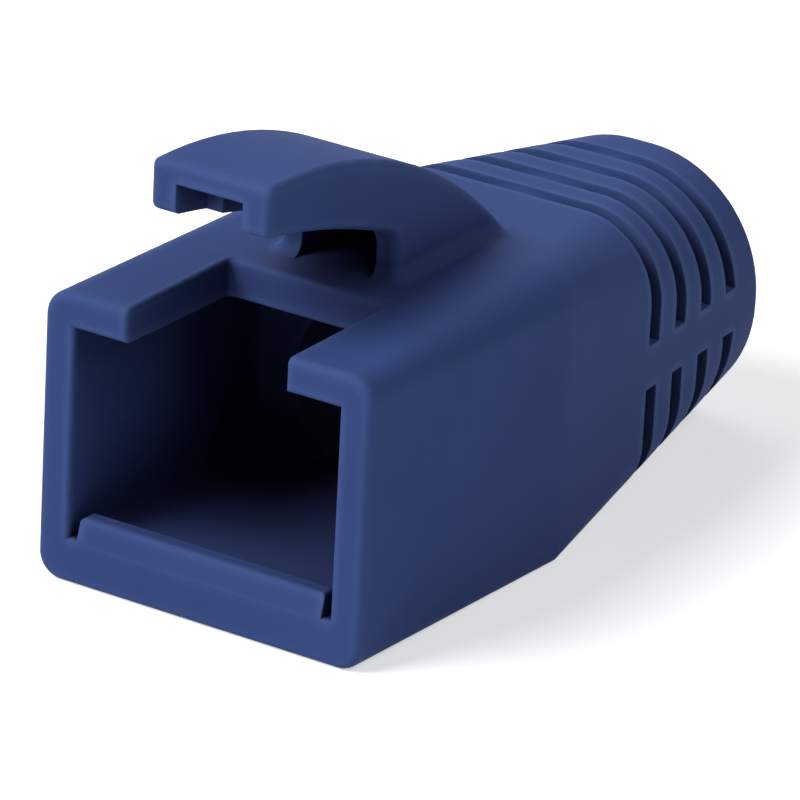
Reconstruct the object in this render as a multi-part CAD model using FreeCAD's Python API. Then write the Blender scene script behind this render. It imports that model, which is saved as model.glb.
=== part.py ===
import FreeCAD, Part
import math
import os
from FreeCAD import Vector

# Strain relief boot for a modular network plug: one moulded piece of soft plastic.
# A square sleeve slips over the rear of the plug, a hooped tab covers the plug's latch,
# and a tapered collar with cut grooves bends with the cable.
# Millimetres. X runs across the boot, +Y from the mouth to the cable, +Z up.
# While the boot is built, y = 0 is the mouth and z = 0 the surface that it lies on.

# Sleeve
SLEEVE_WIDTH = 14.4
SLEEVE_LENGTH = 13.35
MOUTH_HEIGHT = 11.45
SHOULDER_HEIGHT = 11.7
LOWER_CORNER_RADIUS = 1.0
MOUTH_CORNER_RADIUS = 1.05
SHOULDER_LOWER_RADIUS = 0.4
SHOULDER_CORNER_RADIUS = 1.7
MOUTH_EDGE_RADIUS = 0.3

# Socket for the plug
SOCKET_WIDTH = 11.7
SOCKET_FLOOR = 1.8
SOCKET_ROOF = 10.1
SOCKET_DEPTH = 12.0
SOCKET_EDGE_RADIUS = 0.2

# Retaining lip across the bottom of the mouth
LIP_GAP = 0.4
LIP_CREASE = 1.55
LIP_HEIGHT = 2.65
LIP_LEAN = 0.3
LIP_DEPTH = 1.1
LIP_EDGE_RADIUS = 0.2

# Slot in the roof for the plug's latch
LATCH_SLOT_WIDTH = 7.0
LATCH_SLOT_LENGTH = 6.5
LATCH_SLOT_CORNER_RADIUS = 0.2

# Tab over the latch
TAB_WIDTH = 5.2
TAB_RISE = 5.94
TAB_OVERHANG = 0.15
TAB_CREST_Y = 0.9
TAB_TOP_RADIUS = 21.5
TAB_NOSE_HEIGHT = 1.93
TAB_BELLY_Y = 3.55
TAB_BELLY_DROP = 2.48
TAB_ELBOW_RISE = 1.72
TAB_LEG_FRONT = 8.42
TAB_ELBOW_RADIUS = 1.0
TAB_EDGE_RADIUS = 0.3
TAB_ROOF_THICKNESS = 0.77
TAB_POCKET_WIDTH = 2.9
TAB_POCKET_DEPTH = 1.95
TAB_CHANNEL_WIDTH = 1.46
TAB_HOLLOW_WIDTH = 3.3
TAB_PAD_END = 7.25
TAB_FOOT_RADIUS = 0.6

# Collar and cable bore
BOOT_LENGTH = 30.2
COLLAR_WIDTH = 11.2
COLLAR_HEIGHT = 10.6
COLLAR_EDGE_CHAMFER = 0.5
BORE_RADIUS = 4.0
BORE_EDGE_CHAMFER = 0.4

# Grooves that let the collar bend
GROOVE_COUNT = 4
GROOVE_WIDTH = 0.85
GROOVE_PITCH = 2.23
LAST_GROOVE_TO_END = 2.9
GROOVE_DEPTH = 0.18
SIDE_RIB_HEIGHT = 1.8
SIDE_RIB_MIDDLE = 5.6

# Overlap that carries a cutting shape past the face that it cuts
PAST = 1.0
FLAT_SLIVER = 0.02

# The bore runs along the middle of the collar, and the tab stands on the sleeve
BORE_HEIGHT = COLLAR_HEIGHT / 2
TAB_CREST_Z = SHOULDER_HEIGHT + TAB_RISE
TAB_ELBOW_Z = SHOULDER_HEIGHT + TAB_ELBOW_RISE


def rounded_section(y, half_width, low, high, low_radius, high_radius):
    """Closed outline at one y: four straight sides joined by four corner arcs."""
    arcs = []
    corners = [
        (half_width, low, low_radius, 270),
        (half_width, high, high_radius, 0),
        (-half_width, high, high_radius, 90),
        (-half_width, low, low_radius, 180),
    ]
    for x, z, radius, start in corners:
        cx = x - math.copysign(radius, x)
        cz = z + radius if z == low else z - radius
        points = []
        for turn in (0, 45, 90):
            angle = math.radians(start + turn)
            points.append(Vector(cx + radius * math.cos(angle), y, cz + radius * math.sin(angle)))
        arcs.append(points)
    edges = []
    for index, points in enumerate(arcs):
        following = arcs[(index + 1) % len(arcs)]
        edges.append(Part.Arc(*points).toShape())
        edges.append(Part.LineSegment(points[2], following[0]).toShape())
    return Part.Wire(edges)


def loft(*sections):
    """Solid with straight rulings from each outline to the next, its flat faces true planes."""
    faces = []
    for face in Part.makeLoft(list(sections), True, True).Faces:
        plane = face.findPlane()
        faces.append(Part.Face(plane, face.OuterWire) if plane else face)
    shell = Part.makeShell(faces)
    shell.sewShape()
    return Part.Solid(shell)


def side_prism(edges, width):
    """Profile in the plane x = 0, drawn out to both sides to a full width."""
    face = Part.Face(Part.Wire(edges))
    face.translate(Vector(-width / 2, 0, 0))
    return face.extrude(Vector(width, 0, 0))


def side_point(y, z):
    return Vector(0, y, z)


def side_line(start, end):
    return Part.LineSegment(start, end).toShape()


def block(width, y_start, y_end, z_start, z_end):
    """Box centred on x = 0."""
    corner = Vector(-width / 2, y_start, z_start)
    return Part.makeBox(width, y_end - y_start, z_end - z_start, corner)


def round_edges(shape, radius, wanted):
    """Round every edge that a test picks."""
    edges = [edge for edge in shape.Edges if wanted(edge)]
    return shape.makeFillet(radius, edges)


def lies_at(edge, axis, value, margin=1e-4):
    """True where all of an edge has one coordinate at a value."""
    box = edge.BoundBox
    low = getattr(box, axis + "Min")
    high = getattr(box, axis + "Max")
    return abs(low - value) < margin and abs(high - value) < margin


def top_height(y):
    """Height of the boot's top surface behind the shoulder."""
    share = (y - SLEEVE_LENGTH) / (BOOT_LENGTH - SLEEVE_LENGTH)
    return SHOULDER_HEIGHT + share * (COLLAR_HEIGHT - SHOULDER_HEIGHT)


def make_outside():
    """Sleeve, then the taper from its shoulder to the round collar."""
    mouth = rounded_section(
        0, SLEEVE_WIDTH / 2, 0, MOUTH_HEIGHT, LOWER_CORNER_RADIUS, MOUTH_CORNER_RADIUS)
    shoulder = rounded_section(
        SLEEVE_LENGTH, SLEEVE_WIDTH / 2, 0, SHOULDER_HEIGHT,
        SHOULDER_LOWER_RADIUS, SHOULDER_CORNER_RADIUS)
    collar_corner = COLLAR_HEIGHT / 2 - FLAT_SLIVER
    collar = rounded_section(
        BOOT_LENGTH, COLLAR_WIDTH / 2, 0, COLLAR_HEIGHT, collar_corner, collar_corner)
    outside = loft(mouth, shoulder, collar)
    outside = round_edges(outside, MOUTH_EDGE_RADIUS, lambda edge: lies_at(edge, "Y", 0))
    rim = [edge for edge in outside.Edges if lies_at(edge, "Y", BOOT_LENGTH)]
    return outside.makeChamfer(COLLAR_EDGE_CHAMFER, rim)


def tab_height(y, drop=0.0):
    """Height of the tab's crown, or of an arc that runs a set distance inside it."""
    radius = TAB_TOP_RADIUS - drop
    return TAB_CREST_Z - TAB_TOP_RADIUS + math.sqrt(radius ** 2 - (y - TAB_CREST_Y) ** 2)


def crown_reach(height, drop=0.0):
    """Place along the boot where that arc comes down to a height."""
    rise = height - TAB_CREST_Z + TAB_TOP_RADIUS
    return TAB_CREST_Y + math.sqrt((TAB_TOP_RADIUS - drop) ** 2 - rise ** 2)


def crown_arc(y_start, y_end, drop=0.0):
    """Arc of the tab's crown between two places along the boot."""
    middle = (y_start + y_end) / 2
    points = [side_point(y, tab_height(y, drop)) for y in (y_start, middle, y_end)]
    return Part.Arc(*points).toShape()


def make_tab():
    """Hooped tab: a curved crown over a belly that ends in a hollow leg."""
    sunk = (SOCKET_ROOF + MOUTH_HEIGHT) / 2
    tail = crown_reach((sunk + SHOULDER_HEIGHT) / 2)
    nose_top = side_point(-TAB_OVERHANG, tab_height(-TAB_OVERHANG))
    nose_low = nose_top - Vector(0, 0, TAB_NOSE_HEIGHT)
    belly = side_point(TAB_BELLY_Y, tab_height(TAB_BELLY_Y) - TAB_BELLY_DROP)
    elbow = side_point(TAB_LEG_FRONT, TAB_ELBOW_Z)
    leg_low = side_point(TAB_LEG_FRONT, sunk)
    tail_low = side_point(tail, sunk)
    tail_top = side_point(tail, tab_height(tail))
    outline = [
        Part.Arc(nose_low, belly, elbow).toShape(),
        side_line(elbow, leg_low),
        side_line(leg_low, tail_low),
        side_line(tail_low, tail_top),
        crown_arc(tail, -TAB_OVERHANG),
        side_line(nose_top, nose_low),
    ]
    tab = side_prism(outline, TAB_WIDTH)
    tab = round_edges(tab, TAB_ELBOW_RADIUS, lambda edge: lies_at(edge, "Z", TAB_ELBOW_Z))

    def on_rim(edge):
        side = lies_at(edge, "X", TAB_WIDTH / 2) or lies_at(edge, "X", -TAB_WIDTH / 2)
        hidden = lies_at(edge, "Z", sunk) or lies_at(edge, "Y", tail)
        return lies_at(edge, "Y", -TAB_OVERHANG) or (side and not hidden)

    tab = round_edges(tab, TAB_EDGE_RADIUS, on_rim)
    return tab.cut(make_tab_hollow(sunk))


def make_tab_hollow(sunk):
    """Room under the crown: a pocket at the nose, a channel, and the hollow leg."""
    inside_end = crown_reach(SHOULDER_HEIGHT, TAB_ROOF_THICKNESS)
    pieces = []
    stretches = [
        (TAB_POCKET_WIDTH, -PAST, TAB_POCKET_DEPTH - TAB_OVERHANG),
        (TAB_CHANNEL_WIDTH, 0, TAB_PAD_END + PAST),
        (TAB_HOLLOW_WIDTH, TAB_PAD_END, inside_end),
    ]
    for width, start, end in stretches:
        low_start = side_point(start, sunk - PAST)
        low_end = side_point(end, sunk - PAST)
        high_start = side_point(start, tab_height(start, TAB_ROOF_THICKNESS))
        high_end = side_point(end, tab_height(end, TAB_ROOF_THICKNESS))
        outline = [
            side_line(low_start, low_end),
            side_line(low_end, high_end),
            crown_arc(end, start, TAB_ROOF_THICKNESS),
            side_line(high_start, low_start),
        ]
        pieces.append(side_prism(outline, width))
    return pieces[0].multiFuse(pieces[1:])


def make_socket():
    """Room for the plug, and the cable's bore from the back of it out to a bevelled rim."""
    socket = block(SOCKET_WIDTH, -PAST, SOCKET_DEPTH, SOCKET_FLOOR, SOCKET_ROOF)
    bore = Part.makeCylinder(
        BORE_RADIUS, BOOT_LENGTH + PAST - SOCKET_DEPTH,
        Vector(0, SOCKET_DEPTH, BORE_HEIGHT), Vector(0, 1, 0))
    rim = Part.makeCone(
        BORE_RADIUS - PAST, BORE_RADIUS + BORE_EDGE_CHAMFER + PAST, BORE_EDGE_CHAMFER + 2 * PAST,
        Vector(0, BOOT_LENGTH - BORE_EDGE_CHAMFER - PAST, BORE_HEIGHT), Vector(0, 1, 0))
    return [socket, bore, rim]


def make_latch_slot():
    """Notch in the sleeve's roof, open at the mouth."""
    slot = block(
        LATCH_SLOT_WIDTH, -PAST, LATCH_SLOT_LENGTH, SOCKET_ROOF - PAST, SHOULDER_HEIGHT + PAST)
    return slot.makeFillet(LATCH_SLOT_CORNER_RADIUS, [
        edge for edge in slot.Edges
        if lies_at(edge, "Y", LATCH_SLOT_LENGTH) and edge.BoundBox.ZLength > PAST])


def make_lip():
    """Bar across the bottom of the mouth, leaning back, that holds the plug in."""
    width = SOCKET_WIDTH - 2 * LIP_GAP
    base = SOCKET_FLOOR / 2
    outline = [
        side_point(0, base),
        side_point(0, LIP_CREASE),
        side_point(LIP_LEAN, LIP_HEIGHT),
        side_point(LIP_DEPTH, LIP_HEIGHT),
        side_point(LIP_DEPTH, base),
    ]
    edges = [side_line(a, b) for a, b in zip(outline, outline[1:] + outline[:1])]
    lip = side_prism(edges, width)
    return round_edges(lip, LIP_EDGE_RADIUS, lambda edge: lies_at(edge, "Z", LIP_HEIGHT))


def make_grooves():
    """Cutters for the grooves: a round floor, and a rib left along each side."""
    cutters = []
    for number in range(GROOVE_COUNT):
        middle = BOOT_LENGTH - LAST_GROOVE_TO_END - number * GROOVE_PITCH
        start = middle - GROOVE_WIDTH / 2
        axis_height = top_height(middle) / 2
        disc = Part.makeCylinder(
            SLEEVE_WIDTH, GROOVE_WIDTH, Vector(0, start, axis_height), Vector(0, 1, 0))
        core = Part.makeCylinder(
            axis_height - GROOVE_DEPTH, GROOVE_WIDTH,
            Vector(0, start, axis_height), Vector(0, 1, 0))
        ribs = block(
            3 * SLEEVE_WIDTH, start, start + GROOVE_WIDTH,
            SIDE_RIB_MIDDLE - SIDE_RIB_HEIGHT / 2, SIDE_RIB_MIDDLE + SIDE_RIB_HEIGHT / 2)
        cutters.append(disc.cut(core.fuse(ribs)))
    return cutters


def make_sleeve():
    """Whole outside with its socket, bore and latch slot, edges rounded."""
    sleeve = make_outside().cut(make_socket())

    def on_socket_rim(edge):
        box = edge.BoundBox
        inside = box.XMin > -SOCKET_WIDTH / 2 - PAST / 2 and box.XMax < SOCKET_WIDTH / 2 + PAST / 2
        return lies_at(edge, "Y", 0) and inside and box.ZMin > SOCKET_FLOOR / 2

    sleeve = sleeve.cut(make_latch_slot())
    sleeve = round_edges(sleeve, SOCKET_EDGE_RADIUS, on_socket_rim)
    return sleeve


def is_leg_foot(edge):
    """True for the inner corner where the front of the tab's leg meets the sleeve."""
    box = edge.BoundBox
    inside_tab = box.XMin > -TAB_WIDTH / 2 - FLAT_SLIVER and box.XMax < TAB_WIDTH / 2 + FLAT_SLIVER
    at_leg = lies_at(edge, "Y", TAB_LEG_FRONT)
    low = MOUTH_HEIGHT < box.ZMin and box.ZMax < SHOULDER_HEIGHT
    return inside_tab and at_leg and low


def make_boot():
    boot = make_sleeve()
    boot = boot.fuse([make_tab(), make_lip()])
    boot = round_edges(boot, TAB_FOOT_RADIUS, is_leg_foot)
    boot = boot.cut(make_grooves())
    boot = boot.removeSplitter()
    boot.translate(Vector(0, -(BOOT_LENGTH - TAB_OVERHANG) / 2, 0))
    return boot


os.makedirs("parts", exist_ok=True)
boot = make_boot()
solids = boot.Solids
print("solids", len(solids), "valid", boot.isValid(), "volume", round(boot.Volume, 2))
print("box", boot.BoundBox)
solids[0].exportStep("parts/strain_relief_boot.step")
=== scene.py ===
"""Looks of the strain relief boot: moulded plastic, soft lamps, pale floor and camera.

Every length is in metres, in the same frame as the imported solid. A pair of numbers named as
a range gives the value where its effect is none, and then the value where it is full.
"""

import bpy
from mathutils import Matrix, Vector

MM = 0.001
WHITE = (1.0, 1.0, 1.0, 1.0)
NONE_TO_FULL = (0.0, 1.0)

# camera: where it stands, its axes in the part's frame, its lens and its reach
CAMERA_PLACE = (132.20 * MM, -208.295 * MM, 104.21 * MM)
CAMERA_RIGHT = (0.83041, 0.55508, 0.04803)
CAMERA_UP = (-0.24614, 0.28815, 0.92539)
CAMERA_BACK = (0.49983, -0.78029, 0.37592)
CAMERA_LENS = 315.4
CAMERA_FILM = 36.0
CAMERA_NEAR = 0.01
CAMERA_FAR = 20.0

# lamps: the name, place, width and power of each disk, and the point that all shine at
LAMPS = (
    ("key", (-0.20, -0.30, 0.36), 0.30, 2.25),
    ("left", (-0.30, 0.13, 0.36), 0.45, 0.50),
    ("right", (0.33, -0.03, 0.36), 0.30, 0.58),
)
LAMP_TARGET = (0.0, 0.0, 0.008)

# floor: half its width, its height just below the part, its colour, and the glow that makes
# it white where it is seen
FLOOR_HALF = 3.0
FLOOR_Z = -0.01 * MM
FLOOR_COLOUR = (0.86, 0.86, 0.87, 1.0)
FLOOR_GLOW = 0.54

# plastic: linear colours, and the gloss that is the same all over
BLUE = (0.042, 0.074, 0.230, 1.0)
# painted highlight colour for outward edges
BLUE_HIGHLIGHT = (0.072, 0.120, 0.320, 1.0)
BLUE_DEEP = (0.037, 0.067, 0.212, 1.0)
# painted shade colour for hollows and grooves
BLUE_SHADE = (0.016, 0.017, 0.052, 1.0)
REFRACTION = 1.45
GLOSS = 0.10

# noises: the width of a bump, detail and roughness
GRAIN_SIZE = 0.12 * MM
GRAIN = (GRAIN_SIZE, 2.0, 0.6)
RIPPLE = (GRAIN_SIZE * 9.0, 2.0, 0.5)
FLOW = (6.0 * MM, 3.0, 0.55)

# what the noises do: streaks from deep blue to blue, bumps, and an uneven roughness
FLOW_RANGE = (0.32, 0.68)
BUMP_STRENGTH = 0.25
GRAIN_HEIGHT = 0.01 * MM
RIPPLE_HEIGHT = 0.03 * MM
GRAIN_RANGE = (0.3, 0.7)
ROUGHNESS = (0.60, 0.72)

# rays that each occlusion and bevel node sends
NODE_RAYS = 4

# outward edges: softened, and painted paler as a highlight where the plastic behind them is thin
EDGE_RADIUS = 0.14 * MM
EDGE_WIDTH = 0.45 * MM
EDGE_RANGE = (0.88, 0.70)
EDGE_HIGHLIGHT = 0.7

# the slight bend where the sides start to taper, softened more widely: away from it along
# the part, out from the middle, and up from the underside
BEND_Y = -1.675 * MM
BEND_RADIUS = 1.2 * MM
BEND_RANGE = (2.4 * MM, 1.6 * MM)
SIDE_RANGE = (3.8 * MM, 4.4 * MM)
ABOVE_RANGE = (1.3 * MM, 1.9 * MM)

# hollows: painted shade, darker where walls stand within this width, in the sleeve only
HOLLOW_WIDTH = 12.0 * MM
HOLLOW_RANGE = (0.76, 0.28)
HOLLOW_DARK = 0.85
SLEEVE_RANGE = (1.0 * MM, -1.5 * MM)

# grooves: the middle of the first, their spacing, their sides, and the ends of the row
FIRST_GROOVE_Y = 5.585 * MM
GROOVE_PITCH = 2.23 * MM
GROOVE_WIDTH = 0.85 * MM
GROOVE_RANGE = (GROOVE_WIDTH * 0.56, GROOVE_WIDTH * 0.51)
ROW_START_RANGE = (-0.6 * GROOVE_PITCH, -0.4 * GROOVE_PITCH)
ROW_END_RANGE = (3.6 * GROOVE_PITCH, 3.4 * GROOVE_PITCH)

# painted shade in the grooves: how dark it is on the sides and on the top, and where it stops:
# at the bore, by the distance from its middle, and at the ribs on the sides
TOP_RANGE = (9.2 * MM, 10.2 * MM)
GROOVE_SHADES = (0.50, 0.14)
BORE_HEIGHT = 5.3 * MM
BORE_RANGE = (4.1 * MM, 4.4 * MM)
RIB_HEIGHT = 5.6 * MM
RIB_RANGE = (0.88 * MM, 0.94 * MM)


def aim(obj, target):
    """Turns a lamp so that it shines at the target."""
    away = obj.location - Vector(target)
    obj.rotation_euler = away.to_track_quat("Z", "Y").to_euler()


def make_camera():
    """The camera, at the photograph's viewing angle."""
    data = bpy.data.cameras.new("camera")
    data.sensor_fit = "HORIZONTAL"
    data.sensor_width = CAMERA_FILM
    data.lens = CAMERA_LENS
    data.clip_start = CAMERA_NEAR
    data.clip_end = CAMERA_FAR
    camera = bpy.data.objects.new("camera", data)
    turn = Matrix((CAMERA_RIGHT, CAMERA_UP, CAMERA_BACK)).transposed()
    camera.matrix_world = Matrix.Translation(CAMERA_PLACE) @ turn.to_4x4()
    bpy.context.scene.collection.objects.link(camera)
    bpy.context.scene.camera = camera


def make_lamp(name, place, width, power):
    """A white disk lamp."""
    data = bpy.data.lights.new(name, "AREA")
    data.shape = "DISK"
    data.size = width
    data.energy = power
    lamp = bpy.data.objects.new(name, data)
    lamp.location = place
    aim(lamp, LAMP_TARGET)
    bpy.context.scene.collection.objects.link(lamp)


class Nodes:
    """A small helper that adds and joins the nodes of one material or world."""

    def __init__(self, owner):
        self.tree = owner.node_tree
        self.tree.nodes.clear()

    def add(self, kind, **settings):
        node = self.tree.nodes.new(kind)
        for key, value in settings.items():
            setattr(node, key, value)
        return node

    def join(self, start, end):
        self.tree.links.new(start, end)


def calculate(nodes, operation, first, second=None):
    """One step of arithmetic. The second value is a number, a node's output or not needed."""
    node = nodes.add("ShaderNodeMath", operation=operation)
    nodes.join(first, node.inputs[0])
    if isinstance(second, float):
        node.inputs[1].default_value = second
    elif second is not None:
        nodes.join(second, node.inputs[1])
    return node.outputs["Value"]


def multiply(nodes, *values):
    """The product of two or more nodes' outputs."""
    product = values[0]
    for value in values[1:]:
        product = calculate(nodes, "MULTIPLY", product, value)
    return product


def make_range(nodes, value, source, target=NONE_TO_FULL):
    """Spreads the source range evenly over the target range, and holds it at both ends."""
    spread = nodes.add("ShaderNodeMapRange")
    nodes.join(value, spread.inputs["Value"])
    spread.inputs["From Min"].default_value = source[0]
    spread.inputs["From Max"].default_value = source[1]
    spread.inputs["To Min"].default_value = target[0]
    spread.inputs["To Max"].default_value = target[1]
    return spread.outputs["Result"]


def make_noise(nodes, place, size, detail, roughness):
    """Noise whose bumps are about as wide as the size, from the part's own coordinates."""
    noise = nodes.add("ShaderNodeTexNoise")
    nodes.join(place, noise.inputs["Vector"])
    noise.inputs["Scale"].default_value = 1.0 / size
    noise.inputs["Detail"].default_value = detail
    noise.inputs["Roughness"].default_value = roughness
    return noise.outputs["Fac"]


def make_occlusion(nodes, width, inside):
    """How open the surface is within a width: outwards, or into the plastic behind an edge."""
    around = nodes.add(
        "ShaderNodeAmbientOcclusion", samples=NODE_RAYS, inside=inside, only_local=True)
    around.inputs["Distance"].default_value = width
    return around.outputs["AO"]


def make_bump(nodes, height, distance, normal):
    """A bump from a noise, on top of the normal that comes in."""
    bump = nodes.add("ShaderNodeBump")
    bump.inputs["Strength"].default_value = BUMP_STRENGTH
    bump.inputs["Distance"].default_value = distance
    nodes.join(height, bump.inputs["Height"])
    nodes.join(normal, bump.inputs["Normal"])
    return bump.outputs["Normal"]


def mix_in(nodes, share, below, colour):
    """Covers what is below with a colour, by the share."""
    mix = nodes.add("ShaderNodeMix", data_type="RGBA")
    nodes.join(share, mix.inputs["Factor"])
    nodes.join(below, mix.inputs["A"])
    mix.inputs["B"].default_value = colour
    return mix.outputs["Result"]


def make_streaks(nodes, place):
    """Slow streaks between the plain blue and a slightly deeper one."""
    tint = nodes.add("ShaderNodeValToRGB")
    ends = tint.color_ramp.elements
    for end, position, colour in zip(ends, FLOW_RANGE, (BLUE_DEEP, BLUE)):
        end.position = position
        end.color = colour
    nodes.join(make_noise(nodes, place, *FLOW), tint.inputs["Fac"])
    return tint.outputs["Color"]


def make_edge_radius(nodes, axes):
    """Small on every edge, and wide on the slight bend where the sides start to taper."""
    along = calculate(nodes, "SUBTRACT", axes["Y"], BEND_Y)
    near = make_range(nodes, calculate(nodes, "ABSOLUTE", along), BEND_RANGE)
    beside = make_range(nodes, calculate(nodes, "ABSOLUTE", axes["X"]), SIDE_RANGE)
    above = make_range(nodes, axes["Z"], ABOVE_RANGE)
    bend = multiply(nodes, near, beside, above)
    return make_range(nodes, bend, NONE_TO_FULL, (EDGE_RADIUS, BEND_RADIUS))


def make_hollow_shade(nodes, axes):
    """Painted shade in the hollows of the sleeve, darker by how little of the outside they see.
    """
    hollow = make_range(
        nodes, make_occlusion(nodes, HOLLOW_WIDTH, False), HOLLOW_RANGE, (0.0, HOLLOW_DARK))
    return multiply(nodes, hollow, make_range(nodes, axes["Y"], SLEEVE_RANGE))


def make_groove_shade(nodes, axes):
    """An even painted shade in the grooves, outside the bore and above and below the side ribs.
    """
    along = calculate(nodes, "SUBTRACT", axes["Y"], FIRST_GROOVE_Y)
    from_groove = calculate(nodes, "PINGPONG", along, GROOVE_PITCH / 2)
    spoke = nodes.add("ShaderNodeCombineXYZ")
    nodes.join(axes["X"], spoke.inputs["X"])
    nodes.join(calculate(nodes, "SUBTRACT", axes["Z"], BORE_HEIGHT), spoke.inputs["Z"])
    from_bore = nodes.add("ShaderNodeVectorMath", operation="LENGTH")
    nodes.join(spoke.outputs["Vector"], from_bore.inputs["Vector"])
    from_rib = calculate(
        nodes, "ABSOLUTE", calculate(nodes, "SUBTRACT", axes["Z"], RIB_HEIGHT))
    return multiply(
        nodes,
        make_range(nodes, from_groove, GROOVE_RANGE),
        make_range(nodes, from_bore.outputs["Value"], BORE_RANGE),
        make_range(nodes, from_rib, RIB_RANGE),
        make_range(nodes, along, ROW_START_RANGE),
        make_range(nodes, along, ROW_END_RANGE),
        make_range(nodes, axes["Z"], TOP_RANGE, GROOVE_SHADES),
    )


def make_plastic():
    """Dyed matte plastic: streaks, painted edge highlights, painted shade in hollows and
    grooves, fine grain.
    """
    material = bpy.data.materials.new("boot_plastic_looks")
    material.use_nodes = True
    nodes = Nodes(material)
    place = nodes.add("ShaderNodeTexCoord").outputs["Object"]
    split = nodes.add("ShaderNodeSeparateXYZ")
    nodes.join(place, split.inputs["Vector"])
    axes = split.outputs

    # painted highlight: outward edges made paler where little plastic stands behind them
    painted_highlight = make_range(
        nodes, make_occlusion(nodes, EDGE_WIDTH, True), EDGE_RANGE, (0.0, EDGE_HIGHLIGHT))
    # painted shade: hollows and grooves made darker
    shade = calculate(
        nodes, "MAXIMUM", make_hollow_shade(nodes, axes), make_groove_shade(nodes, axes))
    colour = mix_in(nodes, painted_highlight, make_streaks(nodes, place), BLUE_HIGHLIGHT)
    colour = mix_in(nodes, shade, colour, BLUE_SHADE)

    grain = make_noise(nodes, place, *GRAIN)
    ripple = make_noise(nodes, place, *RIPPLE)
    soft_edge = nodes.add("ShaderNodeBevel", samples=NODE_RAYS)
    nodes.join(make_edge_radius(nodes, axes), soft_edge.inputs["Radius"])
    normal = make_bump(nodes, grain, GRAIN_HEIGHT, soft_edge.outputs["Normal"])
    normal = make_bump(nodes, ripple, RIPPLE_HEIGHT, normal)

    shader = nodes.add("ShaderNodeBsdfPrincipled")
    nodes.join(colour, shader.inputs["Base Color"])
    nodes.join(make_range(nodes, grain, GRAIN_RANGE, ROUGHNESS), shader.inputs["Roughness"])
    nodes.join(normal, shader.inputs["Normal"])
    shader.inputs["IOR"].default_value = REFRACTION
    shader.inputs["Specular IOR Level"].default_value = GLOSS
    end = nodes.add("ShaderNodeOutputMaterial")
    nodes.join(shader.outputs["BSDF"], end.inputs["Surface"])
    return material


def seen_directly(nodes):
    """One for camera rays, mirror rays and rays through glass, and none for the rest."""
    path = nodes.add("ShaderNodeLightPath")
    seen = path.outputs["Is Camera Ray"]
    for other in ("Is Glossy Ray", "Is Transmission Ray"):
        seen = calculate(nodes, "MAXIMUM", seen, path.outputs[other])
    return seen


def make_floor():
    """A pale floor that the camera sees as white, with the part's soft shadow on it."""
    mesh = bpy.data.meshes.new("floor")
    half = FLOOR_HALF
    corners = [(-half, -half), (half, -half), (half, half), (-half, half)]
    mesh.from_pydata([(x, y, FLOOR_Z) for x, y in corners], [], [(0, 1, 2, 3)])
    floor = bpy.data.objects.new("floor", mesh)
    bpy.context.scene.collection.objects.link(floor)
    material = bpy.data.materials.new("floor_paper")
    material.use_nodes = True
    nodes = Nodes(material)
    paper = nodes.add("ShaderNodeBsdfDiffuse")
    paper.inputs["Color"].default_value = FLOOR_COLOUR
    glow = nodes.add("ShaderNodeEmission")
    glow.inputs["Color"].default_value = WHITE
    strength = make_range(nodes, seen_directly(nodes), NONE_TO_FULL, (0.0, FLOOR_GLOW))
    nodes.join(strength, glow.inputs["Strength"])
    both = nodes.add("ShaderNodeAddShader")
    nodes.join(paper.outputs["BSDF"], both.inputs[0])
    nodes.join(glow.outputs["Emission"], both.inputs[1])
    end = nodes.add("ShaderNodeOutputMaterial")
    nodes.join(both.outputs["Shader"], end.inputs["Surface"])
    mesh.materials.append(material)


def make_world():
    """White where it is seen, directly or in a reflection. The lamps alone light the part."""
    world = bpy.data.worlds.new("studio")
    world.use_nodes = True
    nodes = Nodes(world)
    back = nodes.add("ShaderNodeBackground")
    back.inputs["Color"].default_value = WHITE
    nodes.join(seen_directly(nodes), back.inputs["Strength"])
    end = nodes.add("ShaderNodeOutputWorld")
    nodes.join(back.outputs["Background"], end.inputs["Surface"])
    bpy.context.scene.world = world


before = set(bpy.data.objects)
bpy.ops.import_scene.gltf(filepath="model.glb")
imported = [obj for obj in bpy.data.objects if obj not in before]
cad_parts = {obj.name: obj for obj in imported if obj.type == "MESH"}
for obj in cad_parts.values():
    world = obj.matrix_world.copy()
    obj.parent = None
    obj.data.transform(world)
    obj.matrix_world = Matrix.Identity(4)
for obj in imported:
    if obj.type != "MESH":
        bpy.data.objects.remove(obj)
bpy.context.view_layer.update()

bpy.context.scene.view_settings.view_transform = "Standard"
make_camera()
make_world()
for lamp_values in LAMPS:
    make_lamp(*lamp_values)
make_floor()

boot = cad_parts["strain_relief_boot"]
boot.material_slots[0].material = make_plastic()
